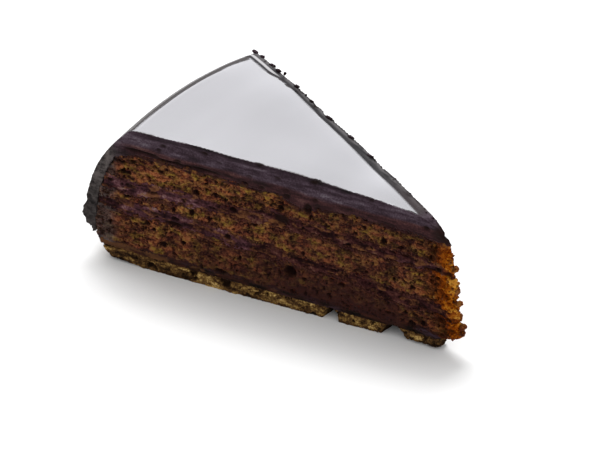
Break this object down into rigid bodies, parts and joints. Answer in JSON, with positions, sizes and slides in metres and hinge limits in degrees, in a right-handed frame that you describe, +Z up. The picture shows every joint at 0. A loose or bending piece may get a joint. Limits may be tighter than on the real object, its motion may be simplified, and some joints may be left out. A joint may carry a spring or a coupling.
{
  "type": "slice of chocolate cake",
  "caption": "Wedge-shaped slice of layered chocolate cake with sponge and cream layers, a biscuit base and a glossy chocolate coating; stands on its flat underside.",
  "frame": {"origin": "centre of the slice's box, on the surface that it stands on", "axes": "+Z up; +X from the rounded rim towards the slice's point; the two knife cuts face -Y and +Y"},
  "size_m": [0.143, 0.0772, 0.0554],
  "materials": {
    "biscuit": "crumbly golden-brown biscuit, matt",
    "dark_filling": "thin sticky dark filling, slightly shiny",
    "sponge": "open-crumbed brown chocolate sponge, matt",
    "cream": "dark chocolate cream, smeared by the knife, satin",
    "coating": "poured dark chocolate coating with a smooth mirror gloss"
  },
  "bodies": {
    "root": {"base_biscuit": "biscuit", "dark_filling": "dark_filling", "sponge_bottom": "sponge", "cream_lower": "cream", "sponge_middle": "sponge", "cream_upper": "cream", "sponge_top": "sponge", "chocolate_coating": "coating"}
  },
  "joints": []
}
